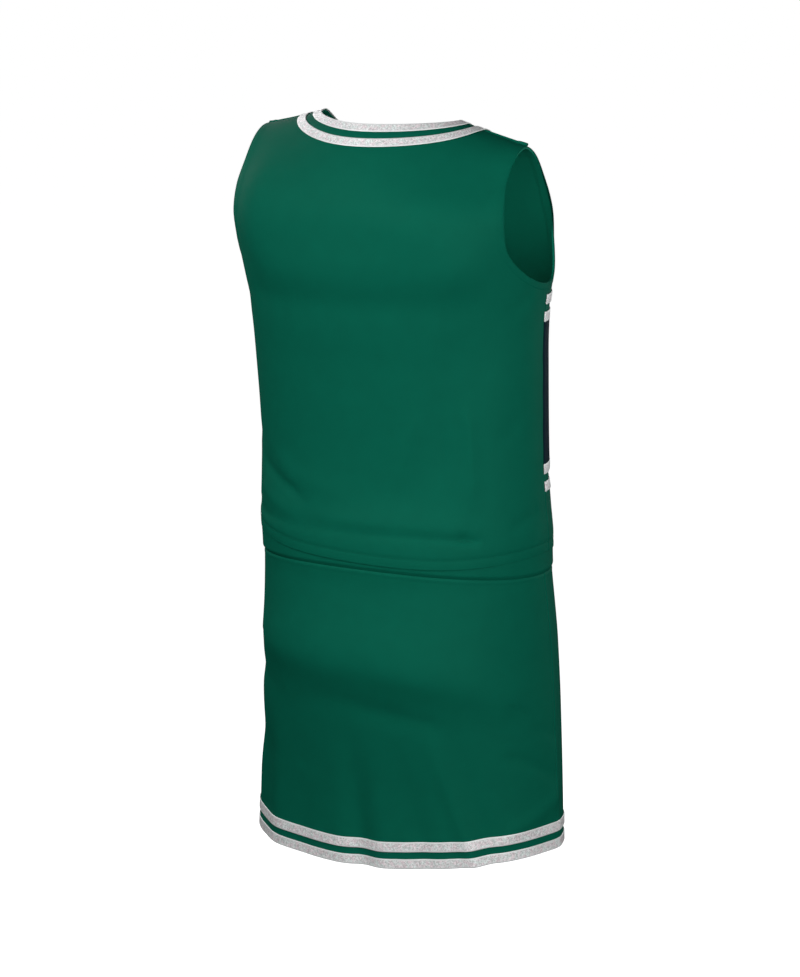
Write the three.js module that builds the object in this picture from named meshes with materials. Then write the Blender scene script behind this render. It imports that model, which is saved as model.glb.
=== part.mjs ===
// Cheerleader uniform: a sleeveless shell top worn over a short skirt, kept in its worn shape.
// Millimetres, +Z up. The wearer faces -Y, and +X is the wearer's left.
// The origin lies between the shoulder seams, just above them, where the shoulders carry the top.
// Angles run round the body from the left side seam, over the back, to the right side seam and front.
import * as THREE from 'three';

// Thickness of each cloth and the spaces between pieces
const CLOTH_WALL = 1.5;
const TAPE_WALL = 1.0;
const SEAM_GAP = 0.3;
const TAPE_LIFT = 0.35;

// Shape of a level section: 2 is an ellipse, more is squarer
const ACROSS_POWER = 2.2;
const DEPTH_POWER = 2.0;

// Sections of the top, from above the shoulders down past its hem
const TOP_SECTIONS = [
  { z: 10, halfWidth: 190, back: 87, front: 72, middle: 25 },
  { z: -8, halfWidth: 190, back: 90, front: 76, middle: 22 },
  { z: -28, halfWidth: 189, back: 97.5, front: 83.9, middle: 15.9 },
  { z: -60, halfWidth: 186.6, back: 105.5, front: 92.2, middle: 14.2 },
  { z: -95, halfWidth: 182.4, back: 109.7, front: 98.1, middle: 14.6 },
  { z: -130, halfWidth: 172.3, back: 109.2, front: 97.3, middle: 14.3 },
  { z: -160, halfWidth: 165.4, back: 106.2, front: 94.7, middle: 13.8 },
  { z: -190, halfWidth: 160.4, back: 99.5, front: 93.2, middle: 13.7 },
  { z: -220, halfWidth: 158.1, back: 94.3, front: 93.3, middle: 12.8 },
  { z: -250, halfWidth: 157.1, back: 90.4, front: 94, middle: 11.5 },
  { z: -310, halfWidth: 155.3, back: 88.7, front: 94.9, middle: 7.9 },
  { z: -350, halfWidth: 155.3, back: 89, front: 96.3, middle: 6.7 },
  { z: -385, halfWidth: 156.4, back: 93.3, front: 97.4, middle: 5.1 },
  { z: -420, halfWidth: 158.1, back: 102.8, front: 98, middle: 2 },
  { z: -460, halfWidth: 158, back: 109.6, front: 97.9, middle: -2.1 },
];

// Sections of the skirt, from its waist down to its hem
const SKIRT_SECTIONS = [
  { z: -412, halfWidth: 155.9, back: 98.9, front: 96, middle: 2.6 },
  { z: -446, halfWidth: 154.7, back: 101.9, front: 95.5, middle: 0.2 },
  { z: -465, halfWidth: 155.3, back: 103.8, front: 96, middle: -1.5 },
  { z: -490, halfWidth: 156.3, back: 111.1, front: 94.9, middle: -4.9 },
  { z: -520, halfWidth: 157.6, back: 119.3, front: 93.5, middle: -8.5 },
  { z: -550, halfWidth: 158.9, back: 122, front: 92.9, middle: -9.9 },
  { z: -580, halfWidth: 160.8, back: 116.8, front: 94, middle: -9 },
  { z: -610, halfWidth: 162.6, back: 110, front: 95.3, middle: -7.3 },
  { z: -640, halfWidth: 164.3, back: 104.6, front: 96.4, middle: -5.6 },
  { z: -670, halfWidth: 165.9, back: 99.4, front: 98.3, middle: -3.5 },
  { z: -700, halfWidth: 167.2, back: 96.2, front: 99.6, middle: -1.9 },
  { z: -735, halfWidth: 168.1, back: 94.4, front: 100.5, middle: -0.3 },
  { z: -770, halfWidth: 168.8, back: 93.6, front: 101, middle: 1 },
];

// The shoulder line, and how the cloth rounds over it
const NECK_POINT = { x: 82, z: -10.1 };
const SHOULDER_TIP = { x: 144.5, z: -27.5 };
const SHOULDER_LEAN = 0.022;
const SHOULDER_DROP_POWER = 0.6;
const SHOULDER_SOFT_REACH = 30;
const SHOULDER_ROUND_HEIGHT = { back: 110, front: 170 };
// Beside the neck the front slopes away faster than the rest of the shoulder
const NECK_HOLLOW = { share: 0.6, x: 80, spread: 28, height: 35 };
const SHOULDER_ROUND_POWER = 2;

// Neckline: shallow at the back. The front drops by a share of its depth just inside the
// shoulders, then runs to a V
const BACK_NECK = { lowest: -11.5, power: 2.4 };
const FRONT_NECK = { lowest: -96, power: 0.62, drop: 0.14, dropShare: 0.02 };

// Armholes
const ARMPIT_Z = -164;
const ARMHOLE_EDGE = { back: 141, front: 141 };
const ARMHOLE_BOWL_POWER = 3.2;

// Level edges, each a height at the middle, a tilt and a rise towards the sides
const EDGE_REACH = 150;
const TOP_HEM = { z: -440, tilt: 1.8, rise: 7.1 };
const WAIST_SEAM = { z: -446, tilt: 2.5, rise: -6.8 };
const WAISTBAND_TOP = { z: -412, tilt: 0, rise: 0 };
const SKIRT_HEM = { z: -749, tilt: -4.4, rise: 8.7 };

// Glitter tapes and the coloured band over the chest
const TAPE_WIDTH = 9.5;
const TAPE_SPACING = 8;
const NECK_TAPE_WIDTH = 8.6;
const NECK_TAPE_SPACING = 8.6;
const HEM_TAPE_INSET = 0.4;
const CHEST_BAND_TOP = -202;
const CHEST_BAND_BOTTOM = -345;

// Soft flutes that run down to the skirt's hem: depth is outward, spread is in degrees
const SKIRT_FLUTES = [
  { angle: 92, depth: -2.4, spread: 6, starts: -630 },
  { angle: 103, depth: 1.8, spread: 7, starts: -650 },
  { angle: 120, depth: 1.6, spread: 7, starts: -640 },
  { angle: 158, depth: -2.2, spread: 8, starts: -640 },
  { angle: 56, depth: -1.8, spread: 9, starts: -620 },
  { angle: 214, depth: -2.2, spread: 9, starts: -630 },
  { angle: 238, depth: 1.8, spread: 8, starts: -650 },
  { angle: 266, depth: -2.2, spread: 8, starts: -620 },
  { angle: 292, depth: 1.8, spread: 8, starts: -650 },
  { angle: 322, depth: -2, spread: 9, starts: -640 },
  { angle: 0, depth: 2.5, spread: 8, starts: -560 },
  { angle: 180, depth: 2.5, spread: 8, starts: -560 },
  { angle: 360, depth: 2.5, spread: 8, starts: -560 },
];

// How finely the walls are divided
const ARMHOLE_STEPS = 7;
const SHOULDER_STEPS = 3;
const NECK_STEPS = 6;
const HALF_COLUMNS = ARMHOLE_STEPS + SHOULDER_STEPS + NECK_STEPS;
const YOKE_ROWS = 7;
const YOKE_START_Z = -171;
const SKIRT_ROWS = 12;
const NECK_QUARTER_STEPS = [20, 20, 26, 26];
const NECK_CURVE_SAMPLES = 160;
const OFFSET_STEP = 2.4;
const SETTLING_PASSES = 4;
const SLOPE_STEP = 0.02;

const HALF_TURN = Math.PI;
const FULL_TURN = 2 * Math.PI;

// A value of a table at a height, on a smooth curve through the rows
function columnAt(rows, key, z) {
  let below = 1;
  while (below < rows.length - 1 && rows[below].z > z) below += 1;
  const [r0, r1] = [rows[below - 1], rows[below]];
  const before = rows[Math.max(0, below - 2)];
  const after = rows[Math.min(rows.length - 1, below + 1)];
  const span = r1.z - r0.z;
  const t = THREE.MathUtils.clamp((z - r0.z) / span, 0, 1);
  const slope0 = ((r1[key] - before[key]) / (r1.z - before.z)) * span;
  const slope1 = ((after[key] - r0[key]) / (after.z - r0.z)) * span;
  const t2 = t * t;
  const t3 = t2 * t;
  return (2 * t3 - 3 * t2 + 1) * r0[key] + (t3 - 2 * t2 + t) * slope0
    + (3 * t2 - 2 * t3) * r1[key] + (t3 - t2) * slope1;
}

// Height of the shoulder line over a place across the body
function shoulderHeight(x) {
  const reach = (value) => Math.hypot(value, SHOULDER_SOFT_REACH) ** SHOULDER_DROP_POWER;
  const fall = (NECK_POINT.z - SHOULDER_TIP.z) / (reach(SHOULDER_TIP.x) - reach(NECK_POINT.x));
  return NECK_POINT.z - fall * (reach(x) - reach(NECK_POINT.x)) + SHOULDER_LEAN * x;
}

// How much of its full depth the top still has: 1 on the body, 0 at the shoulder line, less above it
function shoulderClosing(x, z, face) {
  const below = shoulderHeight(x) - z;
  const besideNeck = Math.exp(-(((Math.abs(x) - NECK_HOLLOW.x) / NECK_HOLLOW.spread) ** 2));
  const fading = Math.exp(-((below / NECK_HOLLOW.height) ** 2));
  const hollow = face === 'front' ? NECK_HOLLOW.share * besideNeck * fading : 0;
  const drop = (below * (1 - hollow)) / SHOULDER_ROUND_HEIGHT[face];
  return 1 - Math.max(0, 1 - drop) ** SHOULDER_ROUND_POWER;
}

const topShape = { sections: TOP_SECTIONS, closing: shoulderClosing };
const skirtShape = { sections: SKIRT_SECTIONS, closing: () => 1 };

// Below 0 inside the body, 0 on the cloth's outer face and above 0 outside it
function outsideness(shape, point) {
  const halfWidth = columnAt(shape.sections, 'halfWidth', point.z);
  const middle = columnAt(shape.sections, 'middle', point.z);
  const face = point.y > middle ? 'back' : 'front';
  const depth = columnAt(shape.sections, face, point.z);
  const across = 1 - Math.abs(point.x / halfWidth) ** ACROSS_POWER;
  return Math.abs((point.y - middle) / depth) ** DEPTH_POWER - across * shape.closing(point.x, point.z, face);
}

function gradient(shape, point) {
  const slope = new THREE.Vector3();
  for (const axis of ['x', 'y', 'z']) {
    const ahead = point.clone();
    ahead[axis] += SLOPE_STEP;
    const behind = point.clone();
    behind[axis] -= SLOPE_STEP;
    slope[axis] = (outsideness(shape, ahead) - outsideness(shape, behind)) / (2 * SLOPE_STEP);
  }
  return slope;
}

function outward(shape, point) {
  return gradient(shape, point).normalize();
}

// The point of the outer face at an angle round the body and a height
function facePoint(shape, angle, z) {
  const side = Math.sin(angle) >= 0 ? 1 : -1;
  const halfWidth = columnAt(shape.sections, 'halfWidth', z);
  const face = side > 0 ? 'back' : 'front';
  const depth = columnAt(shape.sections, face, z);
  const cosine = Math.cos(angle);
  const x = Math.sign(cosine) * halfWidth * Math.abs(cosine) ** (2 / ACROSS_POWER);
  const closed = Math.max(0, shape.closing(x, z, face)) ** (1 / DEPTH_POWER);
  const y = side * depth * closed * Math.abs(Math.sin(angle)) ** (2 / DEPTH_POWER);
  return new THREE.Vector3(x, columnAt(shape.sections, 'middle', z) + y, z);
}

// The angle that lies over a place across the body
function angleOver(shape, x, z) {
  return Math.acos((x / columnAt(shape.sections, 'halfWidth', z)) ** (ACROSS_POWER / 2));
}

// Flutes push the skirt in and out along its outward direction, more towards the hem
function fluteDepth(angle, z) {
  let depth = 0;
  for (const flute of SKIRT_FLUTES) {
    const away = THREE.MathUtils.radToDeg(angle) - flute.angle;
    const grown = THREE.MathUtils.smoothstep(flute.starts - z, 0, flute.starts - SKIRT_HEM.z);
    depth += flute.depth * grown * Math.exp(-((away / flute.spread) ** 2));
  }
  return depth;
}

// A point of the cloth with its outward direction; back and front part by the seam gap
function clothPoint(shape, angle, z, side = 0) {
  const base = facePoint(shape, angle, z);
  const normal = outward(shape, base);
  const point = base.clone();
  if (shape === skirtShape) point.addScaledVector(normal, fluteDepth(angle, z));
  point.y += (side * SEAM_GAP) / 2;
  return { point, normal };
}

function edgeHeight(edge, shape, angle) {
  const across = facePoint(shape, angle, edge.z).x / EDGE_REACH;
  return edge.z + edge.tilt * across + edge.rise * across * across;
}

// A closed wall over rows of cloth points: its outer face is lifted, and its inner face lies below
function wallGeometry(rows, lift, thickness, isRing) {
  const rowCount = rows.length;
  const columnCount = rows[0].length;
  const positions = [];
  for (const height of [lift, lift - thickness]) {
    for (const row of rows) {
      for (const { point, normal } of row) {
        positions.push(...point.clone().addScaledVector(normal, height).toArray());
      }
    }
  }
  const outer = (row, column) => row * columnCount + (column % columnCount);
  const inner = (row, column) => rowCount * columnCount + outer(row, column);
  const triangles = [];
  const quad = (a, b, c, d) => triangles.push(a, b, c, a, c, d);
  const columnSpans = isRing ? columnCount : columnCount - 1;
  for (let column = 0; column < columnSpans; column += 1) {
    const next = column + 1;
    for (let row = 0; row < rowCount - 1; row += 1) {
      quad(outer(row, column), outer(row, next), outer(row + 1, next), outer(row + 1, column));
      quad(inner(row, column), inner(row + 1, column), inner(row + 1, next), inner(row, next));
    }
    const last = rowCount - 1;
    quad(inner(0, column), inner(0, next), outer(0, next), outer(0, column));
    quad(outer(last, column), outer(last, next), inner(last, next), inner(last, column));
  }
  for (let row = 0; row < rowCount - 1 && !isRing; row += 1) {
    const end = columnCount - 1;
    quad(inner(row, 0), outer(row, 0), outer(row + 1, 0), inner(row + 1, 0));
    quad(outer(row, end), inner(row, end), inner(row + 1, end), outer(row + 1, end));
  }
  const geometry = new THREE.BufferGeometry();
  geometry.setAttribute('position', new THREE.Float32BufferAttribute(positions, 3));
  geometry.setIndex(triangles);
  geometry.computeVertexNormals();
  return geometry;
}

// Where a column of the top ends on one half of a panel: its angle from that half's side seam, and height
function topEdge(column, side, hand) {
  if (column <= ARMHOLE_STEPS) {
    const down = Math.cos((HALF_TURN / 2) * (column / ARMHOLE_STEPS)) ** 2;
    const z = THREE.MathUtils.lerp(shoulderHeight(hand * SHOULDER_TIP.x), ARMPIT_Z, down);
    const reach = Math.sin((HALF_TURN / 2) * down);
    const x = THREE.MathUtils.lerp(SHOULDER_TIP.x, side > 0 ? ARMHOLE_EDGE.back : ARMHOLE_EDGE.front, reach);
    const bowl = Math.sqrt(1 - down ** ARMHOLE_BOWL_POWER);
    return { angle: Math.asin(Math.sin(angleOver(topShape, x, z)) * bowl), z };
  }
  if (column <= ARMHOLE_STEPS + SHOULDER_STEPS) {
    const along = (column - ARMHOLE_STEPS) / SHOULDER_STEPS;
    const x = THREE.MathUtils.lerp(SHOULDER_TIP.x, NECK_POINT.x, along);
    const z = shoulderHeight(hand * x);
    return { angle: angleOver(topShape, x, z), z };
  }
  const turn = (column - ARMHOLE_STEPS - SHOULDER_STEPS) / NECK_STEPS;
  const x = NECK_POINT.x * Math.cos((turn * HALF_TURN) / 2);
  const z = neckHeight(hand * x, side);
  return { angle: angleOver(topShape, x, z), z };
}

// Height of the neckline over a place across the body: a scoop at the back, a V at the front
function neckHeight(x, side) {
  const end = shoulderHeight(Math.sign(x) * NECK_POINT.x);
  const across = Math.min(1, Math.abs(x / NECK_POINT.x));
  if (side > 0) return THREE.MathUtils.lerp(BACK_NECK.lowest, end, across ** BACK_NECK.power);
  const inward = 1 - across;
  const dropped = FRONT_NECK.drop * (1 - Math.exp(-inward / FRONT_NECK.dropShare));
  const fallen = dropped + (1 - FRONT_NECK.drop) * inward ** FRONT_NECK.power;
  return THREE.MathUtils.lerp(end, FRONT_NECK.lowest, fallen);
}

// Angles of a panel's columns, from its first side seam to its second
function columnAngles(side) {
  const angles = [];
  for (let column = 0; column <= 2 * HALF_COLUMNS; column += 1) {
    angles.push((HALF_TURN * column) / (2 * HALF_COLUMNS));
  }
  return side > 0 ? angles : angles.map((angle) => angle + HALF_TURN);
}

// Rows of the top below the armholes are level, and share their heights with the band and tapes.
// Above that they close up towards the shoulders, where the cloth rounds over.
function topPanelRows(side, levels) {
  const angles = columnAngles(side);
  const hem = (angle) => clothPoint(topShape, angle, edgeHeight(TOP_HEM, topShape, angle), side);
  const rows = [angles.map(hem)];
  for (const z of levels) rows.push(angles.map((angle) => clothPoint(topShape, angle, z, side)));
  for (let row = 1; row <= YOKE_ROWS; row += 1) {
    rows.push(angles.map((angle, column) => {
      const isLeft = (side > 0) === (column <= HALF_COLUMNS);
      const half = Math.min(column, 2 * HALF_COLUMNS - column);
      const closeness = 1 + Math.min(1, half / ARMHOLE_STEPS);
      const rise = 1 - (1 - row / YOKE_ROWS) ** closeness;
      const end = topEdge(half, side, isLeft ? 1 : -1);
      const over = isLeft ? end.angle : HALF_TURN - end.angle;
      const goal = side > 0 ? over : FULL_TURN - over;
      const z = THREE.MathUtils.lerp(YOKE_START_Z, end.z, rise);
      return clothPoint(topShape, THREE.MathUtils.lerp(angle, goal, rise), z, side);
    }));
  }
  return rows;
}

// Level pieces of cloth between two heights on one panel, moved out over it
function levelRows(shape, angles, heights, side = 0) {
  return heights.map((z) => angles.map((angle) => clothPoint(shape, angle, z, side)));
}

// A ring of cloth between two edges, each a height for every angle
function ringRows(shape, lowerEdge, upperEdge, rowSpans) {
  const angles = [...columnAngles(1).slice(0, -1), ...columnAngles(-1).slice(0, -1)];
  const rows = [];
  for (let row = 0; row <= rowSpans; row += 1) {
    rows.push(angles.map((angle) => {
      const z = THREE.MathUtils.lerp(lowerEdge(angle), upperEdge(angle), row / rowSpans);
      return clothPoint(shape, angle, z);
    }));
  }
  return rows;
}

// A quarter of the neckline, from one middle or neck point to the next
function neckQuarter(startTurn) {
  const points = [];
  for (let sample = 0; sample <= NECK_CURVE_SAMPLES; sample += 1) {
    const turn = startTurn + ((HALF_TURN / 2) * sample) / NECK_CURVE_SAMPLES;
    const side = startTurn < HALF_TURN ? 1 : -1;
    const x = NECK_POINT.x * Math.cos(turn);
    const z = neckHeight(x, side);
    const over = angleOver(topShape, Math.abs(x), z);
    const half = x >= 0 ? over : HALF_TURN - over;
    points.push(facePoint(topShape, side > 0 ? half : FULL_TURN - half, z));
  }
  return points;
}

// Points at even lengths along an open curve, without its last one
function evenlySpaced(points, count) {
  const lengths = [0];
  for (let index = 1; index < points.length; index += 1) {
    lengths.push(lengths[index - 1] + points[index].distanceTo(points[index - 1]));
  }
  const total = lengths[lengths.length - 1];
  const spaced = [];
  let index = 0;
  for (let step = 0; step < count; step += 1) {
    const goal = (total * step) / count;
    while (lengths[index + 1] < goal) index += 1;
    const part = (goal - lengths[index]) / (lengths[index + 1] - lengths[index]);
    spaced.push(points[index].clone().lerp(points[index + 1], part));
  }
  return spaced;
}

// The neckline as a loop: over the back from the left neck point, then round the front
function neckLoop() {
  const loop = [];
  for (const [quarter, steps] of NECK_QUARTER_STEPS.entries()) {
    loop.push(...evenlySpaced(neckQuarter((quarter * HALF_TURN) / 2), steps));
  }
  return loop;
}

function ontoFace(shape, point) {
  for (let pass = 0; pass < SETTLING_PASSES; pass += 1) {
    const slope = gradient(shape, point);
    point.addScaledVector(slope, -outsideness(shape, point) / slope.lengthSq());
  }
  return point;
}

// Steps over the cloth, square to the neckline, to a distance from it
function awayFromNeck(start, along, distance) {
  const point = ontoFace(topShape, start.clone());
  const steps = Math.max(1, Math.ceil(distance / OFFSET_STEP));
  const heading = new THREE.Vector3().crossVectors(along, outward(topShape, point)).normalize();
  for (let step = 0; step < steps; step += 1) {
    heading.addScaledVector(outward(topShape, point), -heading.dot(outward(topShape, point))).normalize();
    point.addScaledVector(heading, distance / steps);
    ontoFace(topShape, point);
  }
  return { point, normal: outward(topShape, point) };
}

// Edges of a tape; where the neckline turns, as at the V, the tape is mitred
function neckTapeRows(nearEdge, farEdge) {
  const loop = neckLoop();
  const edgeRow = (distance) => loop.map((start, index) => {
    const ahead = loop[(index + 1) % loop.length].clone().sub(start).normalize();
    const behind = start.clone().sub(loop[(index + loop.length - 1) % loop.length]).normalize();
    const mitre = Math.cos(ahead.angleTo(behind) / 2);
    return awayFromNeck(start, ahead.add(behind), distance / mitre);
  });
  return [edgeRow(farEdge), edgeRow(nearEdge)];
}

const group = new THREE.Group();

function addPiece(name, geometry, colour, roughness, metalness = 0) {
  const material = new THREE.MeshStandardMaterial({ color: colour, roughness, metalness });
  const mesh = new THREE.Mesh(geometry, material);
  mesh.name = name;
  group.add(mesh);
}

const GREEN = 0x075a48;
const NAVY = 0x11262e;
const GLITTER = 0xd7d7d8;
const CLOTH_ROUGHNESS = 0.7;
const GLITTER_ROUGHNESS = 0.4;
const GLITTER_METALNESS = 0.4;

// The top's two panels, and the heights that the chest band and its tapes share with the front
const tapePair = [0, TAPE_WIDTH, TAPE_WIDTH + TAPE_SPACING, 2 * TAPE_WIDTH + TAPE_SPACING];
const upperTapeEdges = tapePair.map((rise) => CHEST_BAND_TOP + rise);
const lowerTapeEdges = tapePair.map((fall) => CHEST_BAND_BOTTOM - fall).reverse();
const bandSpan = CHEST_BAND_TOP - CHEST_BAND_BOTTOM;
const bandLevels = [1, 2].map((third) => CHEST_BAND_BOTTOM + (bandSpan * third) / 3);
const BACK_LEVELS = [-410, -370, -330, -290, -250, -210, YOKE_START_Z];
const FRONT_LEVELS = [-405, ...lowerTapeEdges, ...bandLevels, ...upperTapeEdges, YOKE_START_Z];

for (const [name, side, levels] of [['top_back', 1, BACK_LEVELS], ['top_front', -1, FRONT_LEVELS]]) {
  const rows = topPanelRows(side, levels);
  addPiece(name, wallGeometry(rows, 0, CLOTH_WALL, false), GREEN, CLOTH_ROUGHNESS);
}

// Pieces laid on the front between its side seams
function addLaidBand(name, heights, colour, roughness, metalness) {
  const inset = [...heights];
  inset[0] += SEAM_GAP / 2;
  inset[inset.length - 1] -= SEAM_GAP / 2;
  const rows = levelRows(topShape, columnAngles(-1), inset, -1);
  addPiece(name, wallGeometry(rows, TAPE_LIFT + TAPE_WALL, TAPE_WALL, false), colour, roughness, metalness);
}

addLaidBand('chest_band', [CHEST_BAND_BOTTOM, ...bandLevels, CHEST_BAND_TOP], NAVY, CLOTH_ROUGHNESS, 0);
const CHEST_TAPES = {
  chest_tape_lowest: lowerTapeEdges.slice(0, 2),
  chest_tape_lower: lowerTapeEdges.slice(2),
  chest_tape_upper: upperTapeEdges.slice(0, 2),
  chest_tape_highest: upperTapeEdges.slice(2),
};
for (const [name, edges] of Object.entries(CHEST_TAPES)) {
  addLaidBand(name, edges, GLITTER, GLITTER_ROUGHNESS, GLITTER_METALNESS);
}

// Two glitter tapes round the neckline
const NECK_TAPES = {
  neck_tape_inner: [HEM_TAPE_INSET, NECK_TAPE_WIDTH],
  neck_tape_outer: [NECK_TAPE_WIDTH + NECK_TAPE_SPACING, 2 * NECK_TAPE_WIDTH + NECK_TAPE_SPACING],
};
for (const [name, [nearEdge, farEdge]] of Object.entries(NECK_TAPES)) {
  const rows = neckTapeRows(nearEdge, farEdge);
  const geometry = wallGeometry(rows, TAPE_LIFT + TAPE_WALL, TAPE_WALL, true);
  addPiece(name, geometry, GLITTER, GLITTER_ROUGHNESS, GLITTER_METALNESS);
}

// The skirt: a waistband under the top's hem, two panels and two glitter tapes at the hem
const waistSeam = (angle) => edgeHeight(WAIST_SEAM, skirtShape, angle);
const waistbandTop = (angle) => edgeHeight(WAISTBAND_TOP, skirtShape, angle);
const skirtHem = (angle) => edgeHeight(SKIRT_HEM, skirtShape, angle);

const waistbandRows = ringRows(skirtShape, (angle) => waistSeam(angle) + SEAM_GAP, waistbandTop, 2);
addPiece('skirt_waistband', wallGeometry(waistbandRows, 0, CLOTH_WALL, true), GREEN, CLOTH_ROUGHNESS);

for (const [name, side] of [['skirt_back', 1], ['skirt_front', -1]]) {
  const rows = [];
  for (let row = 0; row <= SKIRT_ROWS; row += 1) {
    rows.push(columnAngles(side).map((angle) => {
      const z = THREE.MathUtils.lerp(skirtHem(angle), waistSeam(angle), row / SKIRT_ROWS);
      return clothPoint(skirtShape, angle, z, side);
    }));
  }
  addPiece(name, wallGeometry(rows, 0, CLOTH_WALL, false), GREEN, CLOTH_ROUGHNESS);
}

const HEM_TAPES = {
  hem_tape_lower: [HEM_TAPE_INSET, TAPE_WIDTH],
  hem_tape_upper: [TAPE_WIDTH + TAPE_SPACING, 2 * TAPE_WIDTH + TAPE_SPACING],
};
for (const [name, [low, high]] of Object.entries(HEM_TAPES)) {
  const rows = ringRows(skirtShape, (angle) => skirtHem(angle) + low, (angle) => skirtHem(angle) + high, 1);
  const geometry = wallGeometry(rows, TAPE_LIFT + TAPE_WALL, TAPE_WALL, true);
  addPiece(name, geometry, GLITTER, GLITTER_ROUGHNESS, GLITTER_METALNESS);
}

export default group;
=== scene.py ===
# Cheerleader uniform: a sleeveless shell top worn over a short skirt, in smooth knit and glitter tape.
# Metres, +Z up. The wearer faces -Y, and +X is the wearer's left.
# Angles run round the body from the left side seam, over the back, to the right side seam and front.
import math

import bpy
import numpy as np
from mathutils import Matrix, Vector
from mathutils.kdtree import KDTree


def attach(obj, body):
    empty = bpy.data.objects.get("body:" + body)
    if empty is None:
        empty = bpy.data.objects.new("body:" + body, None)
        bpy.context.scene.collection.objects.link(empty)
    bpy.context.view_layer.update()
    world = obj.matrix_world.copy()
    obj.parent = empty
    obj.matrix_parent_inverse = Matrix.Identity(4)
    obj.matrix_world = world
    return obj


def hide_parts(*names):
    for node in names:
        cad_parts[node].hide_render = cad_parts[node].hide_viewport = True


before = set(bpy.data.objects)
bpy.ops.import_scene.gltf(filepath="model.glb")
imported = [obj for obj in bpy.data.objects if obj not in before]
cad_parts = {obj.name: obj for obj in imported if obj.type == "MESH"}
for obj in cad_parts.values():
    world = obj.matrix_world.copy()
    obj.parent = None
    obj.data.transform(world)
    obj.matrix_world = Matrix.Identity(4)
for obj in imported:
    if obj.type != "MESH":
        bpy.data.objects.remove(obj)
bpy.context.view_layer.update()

MM = 0.001

# Thickness of each cloth, and how far the tapes stand off the panels
CLOTH_WALL = 1.3 * MM
TAPE_WALL = 0.9 * MM
TAPE_LIFT = 0.35 * MM

# Shape of a level section: 2 is an ellipse, more is squarer
ACROSS_POWER = 2.2
DEPTH_POWER = 2.0

SECTION_COLUMNS = ("z", "half_width", "back", "front", "middle")
TOP_SECTIONS = MM * np.array([
    (10, 190, 87, 72, 25),
    (-8, 190, 90, 76, 22),
    (-28, 189, 97.5, 83.9, 15.9),
    (-60, 186.6, 105.5, 92.2, 14.2),
    (-95, 182.4, 109.7, 98.1, 14.6),
    (-130, 172.3, 109.2, 97.3, 14.3),
    (-160, 165.4, 106.2, 94.7, 13.8),
    (-190, 160.4, 99.5, 93.2, 13.7),
    (-220, 158.1, 94.3, 93.3, 12.8),
    (-250, 157.1, 90.4, 94, 11.5),
    (-310, 155.3, 88.7, 94.9, 7.9),
    (-350, 155.3, 89, 96.3, 6.7),
    (-385, 156.4, 93.3, 97.4, 5.1),
    (-420, 158.1, 102.8, 98, 2),
    (-460, 158, 109.6, 97.9, -2.1),
])
SKIRT_SECTIONS = MM * np.array([
    (-412, 155.9, 98.9, 96, 2.6),
    (-446, 154.7, 101.9, 95.5, 0.2),
    (-465, 155.3, 103.8, 96, -1.5),
    (-490, 156.3, 111.1, 94.9, -4.9),
    (-520, 157.6, 119.3, 93.5, -8.5),
    (-550, 158.9, 122, 92.9, -9.9),
    (-580, 160.8, 116.8, 94, -9),
    (-610, 162.6, 110, 95.3, -7.3),
    (-640, 164.3, 104.6, 96.4, -5.6),
    (-670, 165.9, 99.4, 98.3, -3.5),
    (-700, 167.2, 96.2, 99.6, -1.9),
    (-735, 168.1, 94.4, 100.5, -0.3),
    (-770, 168.8, 93.6, 101, 1),
])

# The shoulder line, and how the cloth rounds over it
NECK_POINT = {"x": 75 * MM, "z": -8.6 * MM}
SHOULDER_TIP = {"x": 144.5 * MM, "z": -27.5 * MM}
SHOULDER_LEAN = 0.024
SHOULDER_DROP_POWER = 0.6
SHOULDER_SOFT_REACH = 30 * MM
SHOULDER_ROUND_HEIGHT = {"back": 110 * MM, "front": 170 * MM}
NECK_HOLLOW = {"share": 0.75, "x": 76 * MM, "spread": 28 * MM, "height": 36 * MM}

# Neckline: shallow at the back, a soft V at the front
BACK_NECK = {"lowest": -11.5 * MM, "power": 2.4}
FRONT_NECK = {"lowest": -96 * MM, "power": 0.62, "drop": 0.2, "drop_share": 0.006}

# Armholes, and how far the side seams under them sit forward of the body's sides
SEAM_FORWARD = math.radians(4)
SEAM_FORWARD_REACH = 0.5
ARMPIT_Z = -164 * MM
ARMHOLE_EDGE = 141 * MM
ARMHOLE_BOWL_POWER = 4.4

# Level edges, each a height at the middle, a tilt and a rise towards the sides
EDGE_REACH = 150 * MM
TOP_HEM = {"z": -438.2 * MM, "tilt": 4.6 * MM, "rise": 8.8 * MM, "power": 4}
WAIST_SEAM = {"z": -446 * MM, "tilt": 0.5 * MM, "rise": -7.5 * MM, "power": 2}
WAISTBAND_TOP = {"z": -412 * MM, "tilt": 0, "rise": 0, "power": 2}
SKIRT_HEM = {"z": -752.3 * MM, "tilt": -5.8 * MM, "rise": 9.3 * MM, "power": 2}

# Glitter tapes and the coloured band over the chest
TAPE_WIDTH = 9.5 * MM
TAPE_SPACING = 8 * MM
NECK_TAPE_WIDTH = 8.6 * MM
NECK_TAPE_SPACING = 8.6 * MM
TAPE_PAIR = TAPE_WIDTH + TAPE_SPACING
NECK_TAPES_END = 2 * NECK_TAPE_WIDTH + NECK_TAPE_SPACING
TAPE_INSET = 0.4 * MM
CHEST_BAND_WALL = 0.6 * MM
CHEST_BAND_TOP = -202 * MM
CHEST_BAND_BOTTOM = -345 * MM
CHEST_TAPES = {
    "chest_tape_upper": CHEST_BAND_TOP,
    "chest_tape_highest": CHEST_BAND_TOP + TAPE_PAIR,
    "chest_tape_lower": CHEST_BAND_BOTTOM - TAPE_WIDTH,
    "chest_tape_lowest": CHEST_BAND_BOTTOM - TAPE_WIDTH - TAPE_PAIR,
}
BAND_EDGE = 0.15 * MM
BAND_ROW = 2.5 * MM

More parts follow.
